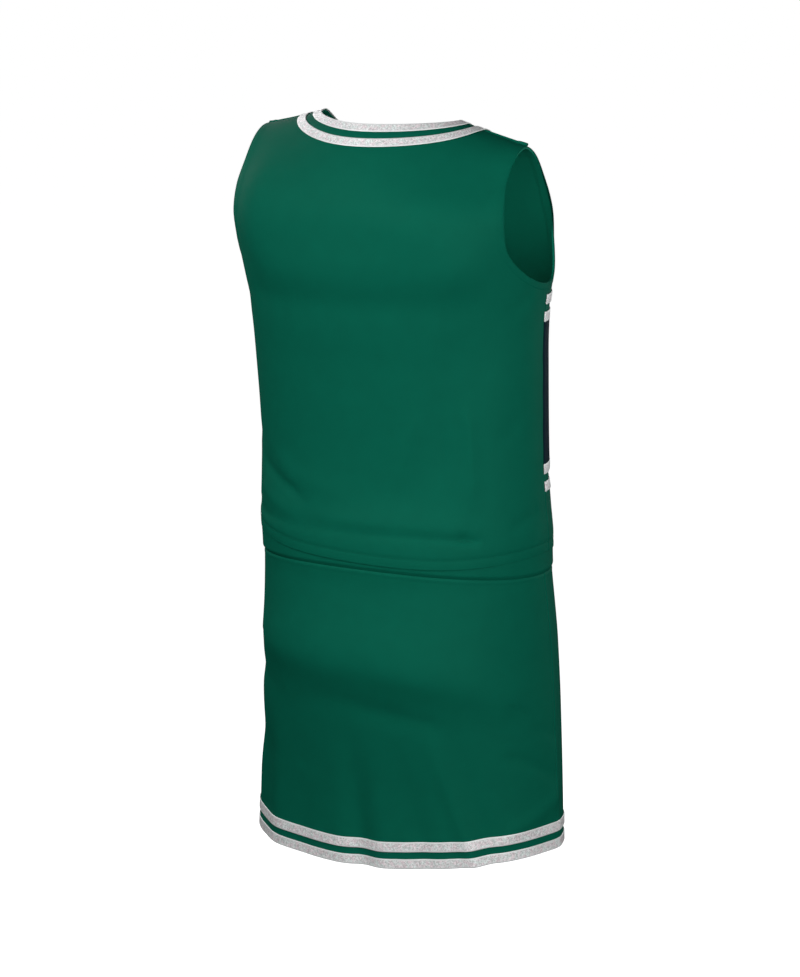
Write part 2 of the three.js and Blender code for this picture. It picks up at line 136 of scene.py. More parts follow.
# Turned hems: their width up to the thread, what the double cloth adds outside and inside, and the
# distances over which that fades
ARMHOLE_HEM = 7.5 * MM
HEM_PUFF = 0.4 * MM
HEM_PUFF_FADE = (-1 * MM, 1.5 * MM)
HEM_ALLOWANCE = 0.8 * MM
HEM_ALLOWANCE_FADE = 0.9 * MM
ARMHOLE_ALLOWANCE = ARMHOLE_HEM + 1 * MM
TOP_ALLOWANCE = 12 * MM
TOP_ALLOWANCE_SHARE = 0.4
TOP_HEM_DRAWN_IN = 0.9 * MM
TOP_HEM_DRAWN_REACH = 20 * MM
HEM_STITCHES_UP = 9.5 * MM
HEM_STITCHES_SUNK = 0.3 * MM

# Grooves and ridges of the sewing: how far each is from the line that it follows, width, and depth outward
HEM_THREAD = (-0.8 * MM, 0.9 * MM, -0.45 * MM)
HEM_RIDGE = (3.5 * MM, 3 * MM, 0.2 * MM)
HEM_GROOVE = (HEM_STITCHES_UP, 1.6 * MM, -0.4 * MM)
NECK_STRIPE = (NECK_TAPE_WIDTH + NECK_TAPE_SPACING / 2, 3.2 * MM, 0.5 * MM)
NECK_GROOVE = (NECK_TAPES_END + 0.9 * MM, 1 * MM, -0.5 * MM)
SEAM_GROOVE = (0, 0.8 * MM, -0.5 * MM)
SEAM_RIDGE = (3 * MM, 2 * MM, 0.2 * MM)
WAIST_GROOVE = (0, 0.9 * MM, -0.7 * MM)
WAIST_RIDGE = (2.6 * MM, 1.8 * MM, 0.3 * MM)
BAND_GROOVE = (0, 0.7 * MM, -0.4 * MM)
SELVEDGES = ((0.08, 0.08, 0.12 * MM), (0.92, 0.08, 0.12 * MM))
PUCKER = {"depth": 0.12 * MM, "pitch": 6 * MM, "reach": 7 * MM}

# The waistband stands out where it shows below the top, from its seam to just under the top's hem
WAISTBAND_LIFT = 1.7 * MM
WAISTBAND_SEAM = 0.1 * MM
WAISTBAND_RISE = (0.3 * MM, 4 * MM)
WAISTBAND_FALL = 2.5 * MM

# Thread of the top's hem
STITCH_PITCH = 2.6 * MM
STITCH_HALF_LENGTH = 0.95 * MM
STITCH_HALF_WIDTH = 0.22 * MM
STITCH_SIDES = 6
STITCH_RINGS = 4

# Shares of a half panel's columns that end at the armhole and on the shoulder; the rest end at the neck
ARMHOLE_SHARE = 7 / 16
SHOULDER_SHARE = 3 / 16

# How finely the cloth is divided: rows from the hem up, and columns that crowd by the side seams
LOW_LEVEL = -410 * MM
HIGH_LEVEL = -192 * MM
HALF_COLUMNS = 112
YOKE_START = -171 * MM
YOKE_ROWS = 56
TAPE_ROWS = 8
RIM_STEPS = 4
NECK_QUARTER_STEPS = (80, 80, 100, 100)
CURVE_SAMPLES = 600
OFFSET_STEP = 1.5 * MM
SETTLING_PASSES = 4
SLOPE_STEP = 0.02 * MM
HEM_RISE = np.linspace(0, 1, 31)[:-1]
LEVELS = np.concatenate([np.linspace(LOW_LEVEL, HIGH_LEVEL, 60)[:-1],
                         np.linspace(HIGH_LEVEL, YOKE_START, 20)])
SKIRT_TURN = 0.93
SKIRT_RISE = np.concatenate([np.linspace(0, SKIRT_TURN, 100)[:-1], np.linspace(SKIRT_TURN, 1, 26)])
WAISTBAND_ROWS = 30
SEAM_SHARES = np.array([0, 0.0014, 0.003, 0.005, 0.0076, 0.0108, 0.0146, 0.019])

# How far from an armhole or the neck the cloth is worked, and where the side seams fade in below an armhole
ARMHOLE_NEAR = 20 * MM
NECK_NEAR = 40 * MM
ARMHOLE_CLEAR = (8 * MM, 16 * MM)

# Colours; the thread is that many times paler, and so is the cloth's inner side, whose paleness is painted
# light that stands in for light thrown inside the garment
GREEN = (0.0022, 0.110, 0.068)
NAVY = (0.006, 0.018, 0.028)
GLITTER = (0.79, 0.785, 0.79)
GLITTER_COOL = (0.93, 1.0, 0.98)
GLITTER_WARM = (1.0, 0.92, 0.94)
GLITTER_SELVEDGE = (0.78, 0.80, 0.80)
THREAD_PALER = 1.25
INSIDE_PAINTED_LIGHT = 1.5

# Knit: a stitch's width and height, the grooves between its columns, the painted shade that darkens those
# grooves, and how its colour wanders
KNIT_WALE = 0.85 * MM
KNIT_COURSE = 0.7 * MM
KNIT_GROOVE = -6.0
KNIT_CLOUDS = {"Scale": 55.0, "Detail": 3.0}
KNIT_SPECKS = {"Scale": 900.0, "Detail": 2.0}
KNIT_CLOUD_SHARE = 0.7
KNIT_CLOUD_TINTS = (0.86, 1.14)
# Painted shade in the stitch grooves: how dark they are coloured, and how the stitch height sets it
KNIT_VALLEY_SHADE = 0.72
KNIT_VALLEY_LIFT = 2.4
KNIT_VALLEY_SHARE = 0.3
KNIT_SPECK_RELIEF = 1.5
KNIT_BUMP = {"Strength": 0.35, "Distance": 0.06 * MM}
KNIT_SPECULAR = 0.02
KNIT_ROUGHNESS = {"green": 0.62, "navy": 0.6, "thread": 0.5}

# Glitter: flakes, clumps of them, and how both change tint, roughness and a painted brightness that stands
# for the flakes' glints
FLAKE_SCALE = 1000.0
FLAKE_CLUMPS = {"Scale": 330.0, "Detail": 3.0}
FLAKE_TINTS = {"Scale": 230.0, "Detail": 2.0}
FLAKE_SHARE = 0.55
CLUMP_SHARE = 0.5
GLITTER_GLINT_RANGE = (0.52, 1.42)
TINT_STOPS = (0.38, 0.62)
GLITTER_EDGE = 0.9 * MM
GLITTER_BUMP = {"Strength": 0.5, "Distance": 0.15 * MM}
GLITTER_ROUGHNESS = 0.3
FLAKE_ROUGHNESS = 0.35
GLITTER_METALLIC = 0.15
GLITTER_SPECULAR = 0.5


def column_at(sections, name, z):
    """A column of a table of sections at heights z, on a smooth curve through its rows."""
    heights = sections[:, 0]
    values = sections[:, SECTION_COLUMNS.index(name)]
    last = len(heights) - 1
    z = np.asarray(z, float)
    low = np.clip(np.searchsorted(-heights, -z), 1, last)
    high = low - 1
    before = np.maximum(0, low - 2)
    after = np.minimum(last, low + 1)
    span = heights[low] - heights[high]
    t = np.clip((z - heights[high]) / span, 0, 1)
    slope_high = (values[low] - values[before]) / (heights[low] - heights[before]) * span
    slope_low = (values[after] - values[high]) / (heights[after] - heights[high]) * span
    return ((2 * t**3 - 3 * t**2 + 1) * values[high] + (t**3 - 2 * t**2 + t) * slope_high
            + (3 * t**2 - 2 * t**3) * values[low] + (t**3 - t**2) * slope_low)


def smoothstep(x, low, high):
    t = np.clip((x - low) / (high - low), 0, 1)
    return t * t * (3 - 2 * t)


def lerp(a, b, t):
    return a + (b - a) * t


def bump(x, centre, width):
    """1 at the centre, fading away from it."""
    return np.exp(-(((x - centre) / width) ** 2))


def running_lengths(steps):
    """Length from the start at each point of a curve, from the steps between its points."""
    return np.concatenate([[0], np.cumsum(steps)])


def along_curve(values, lengths, goals):
    """Rows of three values at goal lengths along a curve."""
    return np.stack([np.interp(goals, lengths, values[:, axis]) for axis in range(3)], -1)


def shoulder_height(x):
    """Height of the shoulder line over a place across the body."""
    def reach(value):
        return np.hypot(value, SHOULDER_SOFT_REACH) ** SHOULDER_DROP_POWER
    fall = (NECK_POINT["z"] - SHOULDER_TIP["z"]) / (reach(SHOULDER_TIP["x"]) - reach(NECK_POINT["x"]))
    return NECK_POINT["z"] - fall * (reach(x) - reach(NECK_POINT["x"])) + SHOULDER_LEAN * x


def shoulder_closing(x, z, is_back):
    """How much of its full depth the top still has: 1 on the body, 0 at the shoulder line."""
    below = shoulder_height(x) - z
    beside_neck = bump(np.abs(x), NECK_HOLLOW["x"], NECK_HOLLOW["spread"])
    hollow = NECK_HOLLOW["share"] * beside_neck * bump(below, 0, NECK_HOLLOW["height"])
    back = below / SHOULDER_ROUND_HEIGHT["back"]
    front = below * (1 - hollow) / SHOULDER_ROUND_HEIGHT["front"]
    return 1 - np.maximum(0, 1 - np.where(is_back, back, front)) ** 2


def no_closing(x, z, is_back):
    return np.ones(np.broadcast(x, z).shape)


TOP = {"sections": TOP_SECTIONS, "closing": shoulder_closing}
SKIRT = {"sections": SKIRT_SECTIONS, "closing": no_closing}


def depth_at(shape, z, is_back):
    return np.where(is_back, column_at(shape["sections"], "back", z),
                    column_at(shape["sections"], "front", z))


def outsideness(shape, points):
    """Below 0 inside the body, 0 on the cloth's outer face and above 0 outside it."""
    x, y, z = points[..., 0], points[..., 1], points[..., 2]
    half_width = column_at(shape["sections"], "half_width", z)
    middle = column_at(shape["sections"], "middle", z)
    is_back = y > middle
    depth = depth_at(shape, z, is_back)
    across = 1 - np.abs(x / half_width) ** ACROSS_POWER
    return np.abs((y - middle) / depth) ** DEPTH_POWER - across * shape["closing"](x, z, is_back)


def gradient(shape, points):
    slopes = []
    for axis in range(3):
        step = np.zeros(3)
        step[axis] = SLOPE_STEP
        ahead = outsideness(shape, points + step)
        slopes.append((ahead - outsideness(shape, points - step)) / (2 * SLOPE_STEP))
    return np.stack(slopes, -1)


def unit(vectors):
    return vectors / np.maximum(np.linalg.norm(vectors, axis=-1, keepdims=True), 1e-12)


def outward(shape, points):
    return unit(gradient(shape, points))


def face_point(shape, angle, z):
    """Points of the plain outer face at angles round the body and heights."""
    angle, z = np.broadcast_arrays(np.asarray(angle, float), np.asarray(z, float))
    is_back = np.sin(angle) >= 0
    half_width = column_at(shape["sections"], "half_width", z)
    depth = depth_at(shape, z, is_back)
    cosine = np.cos(angle)
    x = np.sign(cosine) * half_width * np.abs(cosine) ** (2 / ACROSS_POWER)
    closed = np.maximum(0, shape["closing"](x, z, is_back)) ** (1 / DEPTH_POWER)
    reach = depth * closed * np.abs(np.sin(angle)) ** (2 / DEPTH_POWER)
    y = column_at(shape["sections"], "middle", z) + np.where(is_back, reach, -reach)
    return np.stack([x, y, z], -1)


def angle_over(shape, x, z):
    share = np.clip(x / column_at(shape["sections"], "half_width", z), 0, 1)
    return np.arccos(share ** (ACROSS_POWER / 2))


def edge_height(edge, shape, angle):
    across = face_point(shape, angle, edge["z"])[..., 0] / EDGE_REACH
    return edge["z"] + edge["tilt"] * across + edge["rise"] * np.abs(across) ** edge["power"]


# Flutes of the skirt: angle at the hem and how far the top leans from it in degrees, depth outward,
# spread in degrees, and height where each starts
SKIRT_FLUTES = (
    (82, -1, 1.2, 4.5, -610),
    (89.5, -2, -3.9, 3.2, -600),
    (97, -4, 2.2, 3.8, -610),
    (112, -10, -2.6, 5.0, -610),
    (132, -20, 4.0, 4.0, -590),
    (141, -18, -2.4, 4.4, -590),
    (50, 0, 2.8, 7.0, -570),
    (66, 2, -1.2, 6.0, -620),
    (214, 4, -2.2, 7.0, -630),
    (238, 8, 2.8, 4.6, -610),
    (250, 5, -2.2, 4.6, -630),
    (266, 2, 2.0, 5.0, -650),
    (279, -3, -3.0, 4.4, -610),
    (294, -8, 2.8, 4.6, -620),
    (322, -4, -2.0, 8.0, -640),
    (0, 0, 2.5, 8.0, -560),
    (180, 0, 2.5, 8.0, -560),
    (360, 0, 2.5, 8.0, -560),
)

# Soft forms and folds. A row's first number is how wide a fold is below its path, as a share of its
# width above it. Its points, each of angle, height, half width and depth outward, follow
TOP_FOLDS = (
    # Back: shoulder blades, the dips of the shoulders, the step below the blades, and the waist
    (1.0, (56, -78, 24, 3.4), (52, -120, 28, 3.4)),
    (1.0, (116, -95, 34, 5.0), (130, -135, 36, 5.5)),
    (1.0, (108, -58, 20, -1.0), (130, -58, 22, -1.8), (150, -60, 22, -1.8)),
    (1.0, (114, -88, 24, 2.0), (138, -90, 26, 3.0)),
    (1.0, (46, -52, 16, -1.6), (30, -58, 18, -1.6)),
    (1.0, (60, -150, 22, 1.4), (130, -140, 24, 1.4)),
    (1.0, (48, -184, 18, -2.0), (132, -178, 20, -2.0)),
    (1.0, (132, -232, 34, -3.6), (124, -295, 36, -3.6), (112, -368, 34, -3.6)),
    # Back: the flare of the hem and the creases over it
    (0.5, (66, -398, 12, 0.0), (90, -399, 14, 2.6), (112, -397, 15, 2.8), (132, -400, 12, 1.2),
     (150, -404, 12, 0.0)),
    (1.0, (20, -402, 5, -1.4), (38, -409, 6, -1.8), (60, -411, 6, -1.0), (84, -409, 6, -0.5),
     (104, -409, 4.5, -1.0), (122, -410, 3.8, -1.6), (134, -411, 4.5, -2.6), (141, -413, 5, 0)),
    (1.0, (131, -409, 4.5, -1.6), (134, -400, 5, -0.9), (134, -386, 7, 0)),
    (1.3, (26, -350, 8, -0.6), (42, -363, 6, -2.4), (60, -377, 5, -2.6), (72, -388, 5, 0)),
    (0.8, (40, -338, 10, 0.2), (58, -358, 10, 1.2), (78, -372, 11, 1.0), (96, -382, 12, 0)),
    (0.8, (36, -386, 7, 1.6), (54, -396, 8, 1.4), (72, -402, 9, 0)),
    (1.0, (152, -406, 5, 0), (158, -400, 5, -1.0), (172, -388, 6, -1.0)),
    (1.0, (133, -268, 7, 0), (134, -300, 7, 2.0), (135, -350, 9, 1.8), (134, -388, 9, 0)),
    (1.0, (112, -282, 8, 0), (110, -310, 8, 1.4), (106, -345, 9, 1.0), (102, -372, 10, 0)),
    (1.0, (123, -290, 8, 0), (122, -330, 8, -1.4), (117, -380, 8, 0)),
    (1.0, (20, -330, 10, -0.8), (44, -352, 14, -0.8)),
    (1.0, (158, -300, 10, -0.8), (140, -345, 16, 0)),
    (1.0, (14, -175, 7, -0.9), (42, -215, 16, 0)),
    (1.0, (166, -175, 7, -0.9), (142, -212, 16, 0)),
    # Front: the chest, the dips of the shoulders, and creases at the waist
    (1.0, (236, -150, 44, 3.0), (248, -170, 44, 3.0)),
    (1.0, (304, -150, 44, 3.0), (292, -170, 44, 3.0)),
    (1.0, (214, -28, 13, -2.0), (236, -20, 13, -2.0), (252, -12, 12, -1.6)),
    (1.0, (326, -28, 13, -2.0), (304, -20, 13, -2.0), (288, -12, 12, -1.6)),
    (1.0, (226, -64, 24, -1.6), (234, -95, 28, -1.6)),
    (1.0, (314, -64, 24, -1.6), (306, -95, 28, -1.6)),
    (0.5, (225, -396, 12, 0), (245, -396, 12, 2.0), (270, -400, 14, 2.2), (300, -396, 12, 1.8),
     (320, -394, 12, 0)),
    (1.0, (206, -402, 5, -1.4), (222, -409, 6, -1.2), (245, -412, 6, -1.6), (268, -414, 5, -0.8),
     (290, -410, 5, -1.5), (322, -404, 6, -1.2), (336, -398, 6, 0)),
    (1.2, (196, -358, 8, -1.0), (208, -370, 6, -2.0), (224, -384, 5, 0)),
    (1.2, (346, -356, 8, -1.0), (332, -370, 6, -2.0), (318, -384, 5, 0)),
    (1.0, (252, -300, 9, 0), (250, -335, 9, -0.9), (247, -375, 9, 0)),
    (1.0, (296, -290, 9, 0), (299, -330, 9, 0.9), (303, -372, 9, 0)),
)
SKIRT_FOLDS = (
    # Back: the full of the seat, the soft fold under it, and the drags at the wearer's right
    (0.66, (40, -534, 26, 3.0), (56, -536, 30, 5.0), (72, -537, 34, 5.0), (98, -538, 34, 4.8),
     (128, -556, 34, 4.2), (146, -574, 28, 3.0)),
    (1.2, (44, -592, 14, -0.4), (64, -590, 14, -0.6), (82, -584, 13, -1.2), (98, -588, 12, -2.1),
     (112, -595, 11, -1.8), (126, -606, 10, 0)),
    (1.0, (24, -572, 14, -2.2), (44, -580, 14, -1.4), (60, -586, 14, 0)),
    (1.0, (20, -640, 26, -2.6), (38, -660, 26, -2.6), (34, -720, 20, -1.0)),
    (1.0, (142, -632, 7, 0), (154, -636, 8, -1.5), (168, -650, 8, -1.8), (178, -662, 8, -1.0)),
    (1.0, (158, -612, 8, 0), (170, -612, 8, -0.9), (180, -618, 8, -0.9)),
    (1.0, (140, -722, 9, 0), (152, -706, 9, 1.8), (178, -684, 9, 1.8)),
    (1.0, (62, -655, 9, 0), (66, -668, 9, 0.8), (64, -690, 9, 0)),
    # Front
    (1.0, (240, -505, 40, 2.0), (300, -505, 40, 2.0)),
    (1.4, (222, -560, 14, 0), (240, -574, 16, -1.6), (262, -590, 16, 0)),
    (1.4, (318, -562, 14, 0), (300, -576, 16, -1.6), (280, -592, 16, 0)),
)
METRES_PER_DEGREE = 2.3 * MM
FLUTE_GROWTH = 0.7


def fold_depth(folds, angle, z):
    """How far soft folds push the cloth in or out; where a path bends, its nearest stretch counts."""
    here = np.stack([np.degrees(angle) * METRES_PER_DEGREE, np.broadcast_to(z, np.shape(angle))], -1)
    total = np.zeros(here.shape[:-1])
    for under, *path in folds:
        nearest = np.full(total.shape, np.inf)
        depth = np.zeros(total.shape)
        for (angle_a, z_a, width_a, depth_a), (angle_b, z_b, width_b, depth_b) in zip(path, path[1:]):
            start = np.array([angle_a * METRES_PER_DEGREE, z_a * MM])
            run = np.array([angle_b * METRES_PER_DEGREE, z_b * MM]) - start
            along = np.clip(((here - start) @ run) / (run @ run), 0, 1)
            off = here - start - along[..., None] * run
            is_above = off @ np.array([-run[1], run[0]]) * np.sign(run[0]) > 0
            width = lerp(width_a, width_b, along) * MM * np.where(is_above, 1, under)
            distance = np.sum(off * off, -1) / width**2
            is_nearer = distance < nearest
            nearest = np.where(is_nearer, distance, nearest)
            depth = np.where(is_nearer, lerp(depth_a, depth_b, smoothstep(along, 0, 1)), depth)
        total += depth * MM * np.exp(-nearest)
    return total


def flute_depth(angle, z):
    """How far the skirt's flutes, which grow towards the hem, push the cloth in or out."""
    total = np.zeros(np.broadcast(angle, z).shape)
    for at, lean, depth, spread, starts in SKIRT_FLUTES:
        fallen = np.clip((starts * MM - z) / (starts * MM - SKIRT_HEM["z"]), 0, 1)
        centre = at + lean * (1 - fallen)
        grown = smoothstep(fallen, 0, 1) ** FLUTE_GROWTH
        total += depth * MM * grown * bump(np.degrees(angle), centre, spread)
    return total


def cloth(shape, angle, z):
    """Points of the folded outer face with the plain face's outward directions."""
    base = face_point(shape, angle, z)
    normals = outward(shape, base)
    if shape is SKIRT:
        depth = flute_depth(angle, z) + fold_depth(SKIRT_FOLDS, angle, z)
    else:
        depth = fold_depth(TOP_FOLDS, angle, z)
    return base + normals * depth[..., None], normals


# Meshes

def add_object(name, data):
    made = bpy.data.objects.new(name, data)
    bpy.context.scene.collection.objects.link(made)
    return made


def add_mesh(name, vertices, quads, corner_uvs, material, inside):
    """An object from arrays: rows of four vertex numbers, each corner's place on the cloth in metres,
    and 1 for each vertex of its inner face."""
    mesh = bpy.data.meshes.new(name)
    mesh.vertices.add(len(vertices))
    mesh.vertices.foreach_set("co", np.asarray(vertices, np.float32).ravel())
    quads = np.asarray(quads, np.int32)
    mesh.loops.add(quads.size)
    mesh.loops.foreach_set("vertex_index", quads.ravel())
    mesh.polygons.add(len(quads))
    mesh.polygons.foreach_set("loop_start", np.arange(0, quads.size, 4, dtype=np.int32))
    layer = mesh.uv_layers.new(name="cloth")
    layer.data.foreach_set("uv", np.asarray(corner_uvs, np.float32).ravel())
    # Marks the inner face, which the knit materials paint paler as painted light
    painted_pale_inside = mesh.attributes.new("inside", "FLOAT", "POINT")
    painted_pale_inside.data.foreach_set("value", np.asarray(inside, np.float32).ravel())
    mesh.update(calc_edges=True)
    mesh.shade_smooth()
    mesh.materials.append(material)
    return add_object(name, mesh)


def round_edge(start, end, beyond):
    """Rows that round a cloth's edge over from one face to the other."""
    centre = (start + end) / 2
    arm = start - centre
    reach = np.linalg.norm(arm, axis=-1, keepdims=True)
    turns = [math.pi * step / (RIM_STEPS + 1) for step in range(1, RIM_STEPS + 1)]
    return [centre + arm * math.cos(turn) + beyond * reach * math.sin(turn) for turn in turns]


def grid_quads(rows, spans, width, wrap):
    """Corner numbers of a grid whose rows close on themselves, and of its columns where wrap is true."""
    row = np.arange(rows)[:, None]
    column = np.arange(spans)[None, :]
    row_on = (row + 1) % rows
    column_on = (column + 1) % width if wrap else column + 1
    corners = [row * width + column, row * width + column_on,
               row_on * width + column_on, row_on * width + column]
    return np.stack([np.broadcast_to(corner, (rows, spans)) for corner in corners], -1).reshape(-1, 4)


def end_cap(around, column, width, first_low):
    """Quads that join a wall's outer and inner rows at one end column, from its lower edge to its upper."""
    loop = np.roll(np.arange(around), -first_low) * width + column
    half = around // 2
    outer, inner = loop[:half], loop[::-1][:half]
    quads = np.stack([outer[:-1], inner[:-1], inner[1:], outer[1:]], -1)
    return quads[:, ::-1] if column == 0 else quads


def wall(name, outer, inner, uvs, material):
    """A closed wall between rows of outer and inner points, its upper and lower edges rounded.
    A map one column wider than the points makes it a ring."""
    rows, width = outer.shape[:2]
    is_ring = uvs.shape[1] > width
    above = unit(outer[-1] - outer[-2])
    below = unit(outer[0] - outer[1])
    loop = [*outer, *round_edge(outer[-1], inner[-1], above),
            *inner[::-1], *round_edge(inner[0], outer[0], below)]
    maps = [*uvs, *[uvs[-1]] * RIM_STEPS, *uvs[::-1], *[uvs[0]] * RIM_STEPS]
    around = len(loop)
    spans = width if is_ring else width - 1
    quads = grid_quads(around, spans, width, is_ring)
    flat_maps = np.stack(maps).reshape(-1, 2)
    corner_uvs = flat_maps[grid_quads(around, spans, uvs.shape[1], False)]
    if not is_ring:
        first_low = 2 * rows + RIM_STEPS + RIM_STEPS // 2
        caps = [end_cap(around, column, width, first_low) for column in (0, width - 1)]
        quads = np.concatenate([quads, *caps])
        corner_uvs = np.concatenate([corner_uvs, *[flat_maps[cap] for cap in caps]])
    inside = np.zeros((around, width))
    inside[rows + RIM_STEPS // 2:2 * rows + RIM_STEPS + RIM_STEPS // 2] = 1
    return add_mesh(name, np.stack(loop).reshape(-1, 3), quads, corner_uvs, material, inside)


def distance_to(points, curve, reach):
    """Distance of each point to a curve, or reach where it is further off."""
    tree = KDTree(len(curve))
    for number, place in enumerate(curve):
        tree.insert(place, number)
    tree.balance()
    flat = points.reshape(-1, 3)
    low = curve.min(0) - reach
    high = curve.max(0) + reach
    near = np.all((flat > low) & (flat < high), axis=1)
    distances = np.full(len(flat), reach)
    for number in np.flatnonzero(near):
        distances[number] = min(reach, tree.find(flat[number])[2])
    return distances.reshape(points.shape[:-1])


# Edges of the top

def neck_height(x, side):
    end = shoulder_height(np.sign(x) * NECK_POINT["x"])
    across = np.minimum(1, np.abs(x / NECK_POINT["x"]))
    back = lerp(BACK_NECK["lowest"], end, across ** BACK_NECK["power"])
    inward = 1 - across
    dropped = FRONT_NECK["drop"] * (1 - np.exp(-inward / FRONT_NECK["drop_share"]))
    fallen = dropped + (1 - FRONT_NECK["drop"]) * inward ** FRONT_NECK["power"]
    front = lerp(end, FRONT_NECK["lowest"], fallen)
    return back if side > 0 else front


def top_edge(share, side, hand):
    """Where a half panel's columns end: the angle from its own side seam, and the height."""
    arm = np.clip(share / ARMHOLE_SHARE, 0, 1)
    down = np.cos(math.pi / 2 * arm) ** 2
    arm_z = lerp(shoulder_height(hand * SHOULDER_TIP["x"]), ARMPIT_Z, down)
    arm_x = lerp(SHOULDER_TIP["x"], ARMHOLE_EDGE, np.sin(math.pi / 2 * down))
    bowl = np.sqrt(np.maximum(0, 1 - down**ARMHOLE_BOWL_POWER))
    arm_angle = np.arcsin(np.sin(angle_over(TOP, arm_x, arm_z)) * bowl)
    along = np.clip((share - ARMHOLE_SHARE) / SHOULDER_SHARE, 0, 1)
    shoulder_x = lerp(SHOULDER_TIP["x"], NECK_POINT["x"], along)
    shoulder_z = shoulder_height(hand * shoulder_x)
    neck_from = ARMHOLE_SHARE + SHOULDER_SHARE
    turn = np.clip((share - neck_from) / (1 - neck_from), 0, 1)
    neck_x = NECK_POINT["x"] * np.cos(turn * math.pi / 2)
    neck_z = neck_height(hand * neck_x, side)
    is_arm = share < ARMHOLE_SHARE
    is_shoulder = share < neck_from
    x = np.where(is_shoulder, shoulder_x, neck_x)
    z = np.where(is_shoulder, shoulder_z, neck_z)
    return (np.where(is_arm, arm_angle, angle_over(TOP, x, z)), np.where(is_arm, arm_z, z))


def armhole_loop(hand):
    """The armhole's edge, from the armpit up the back to the shoulder and down the front."""
    halves = []
    for side in (1, -1):
        share = np.linspace(0, ARMHOLE_SHARE * (1 - 1e-9), CURVE_SAMPLES)
        over, z = top_edge(share, side, hand)
        half = over if hand > 0 else math.pi - over
        angle = half if side > 0 else 2 * math.pi - half
        halves.append(face_point(TOP, angle + seam_swing(angle), z))
    return np.concatenate([halves[0], halves[1][::-1][1:-1]])


def neck_curve():
    """The neckline as a loop of even steps in each quarter: over the back, then round the front."""
    parts = []
    for quarter, steps in enumerate(NECK_QUARTER_STEPS):
        turn = math.pi / 2 * (quarter + np.linspace(0, 1, CURVE_SAMPLES))
        side = 1 if quarter < 2 else -1
        x = NECK_POINT["x"] * np.cos(turn)
        z = neck_height(x, side)
        over = angle_over(TOP, np.abs(x), z)
        half = np.where(x >= 0, over, math.pi - over)
        points = face_point(TOP, half if side > 0 else 2 * math.pi - half, z)
        parts.append(evenly_spaced(points, steps))
    return np.concatenate(parts)


def evenly_spaced(points, count):
    """Points at even lengths along an open curve, without its last one."""
    lengths = running_lengths(np.linalg.norm(np.diff(points, axis=0), axis=1))
    return along_curve(points, lengths, lengths[-1] * np.arange(count) / count)


def onto_face(shape, points):
    for _ in range(SETTLING_PASSES):
        slope = gradient(shape, points)
        points = points - slope * (outsideness(shape, points) / np.sum(slope * slope, -1))[..., None]
    return points


def away_from(loop, distance):
    """The loop stepped over the cloth, square to itself, to a distance; a corner is mitred."""
    ahead = unit(np.roll(loop, -1, 0) - loop)
    behind = unit(loop - np.roll(loop, 1, 0))
    mitre = np.cos(np.arccos(np.clip(np.sum(ahead * behind, -1), -1, 1)) / 2)
    points = onto_face(TOP, loop)
    heading = unit(np.cross(ahead + behind, outward(TOP, points)))
    steps = max(1, math.ceil(distance / OFFSET_STEP))
    for _ in range(steps):
        normals = outward(TOP, points)
        heading = unit(heading - normals * np.sum(heading * normals, -1, keepdims=True))
        points = onto_face(TOP, points + heading * (distance / steps / mitre)[..., None])
    return points, outward(TOP, points)


# Materials

def new_material(name):
    material = bpy.data.materials.new(name)
    material.use_nodes = True
    tree = material.node_tree
    tree.nodes.clear()
    shader = tree.nodes.new("ShaderNodeBsdfPrincipled")
    output = tree.nodes.new("ShaderNodeOutputMaterial")
    tree.links.new(shader.outputs["BSDF"], output.inputs["Surface"])
    return material, tree, shader


def node(tree, kind, sockets=None, **settings):
    """A node with its settings, and its sockets set to numbers or joined to other nodes' outputs."""
    made = tree.nodes.new("ShaderNode" + kind)
    for setting, value in settings.items():
        setattr(made, setting, value)
    for socket, value in (sockets or {}).items():
        if isinstance(value, bpy.types.NodeSocket):
            tree.links.new(value, made.inputs[socket])
        else:
            made.inputs[socket].default_value = value
    return made


def maths(tree, operation, first, second=0.0):
    return node(tree, "Math", {0: first, 1: second}, operation=operation).outputs[0]


def mixed(tree, share, low, high):
    """A colour between two, which may be colours or outputs."""
    low, high = [end if isinstance(end, bpy.types.NodeSocket) else (*end, 1) for end in (low, high)]
    return node(tree, "Mix", {0: share, 6: low, 7: high}, data_type="RGBA").outputs[2]


def tinted(colour, factor):
    return tuple(channel * factor for channel in colour)


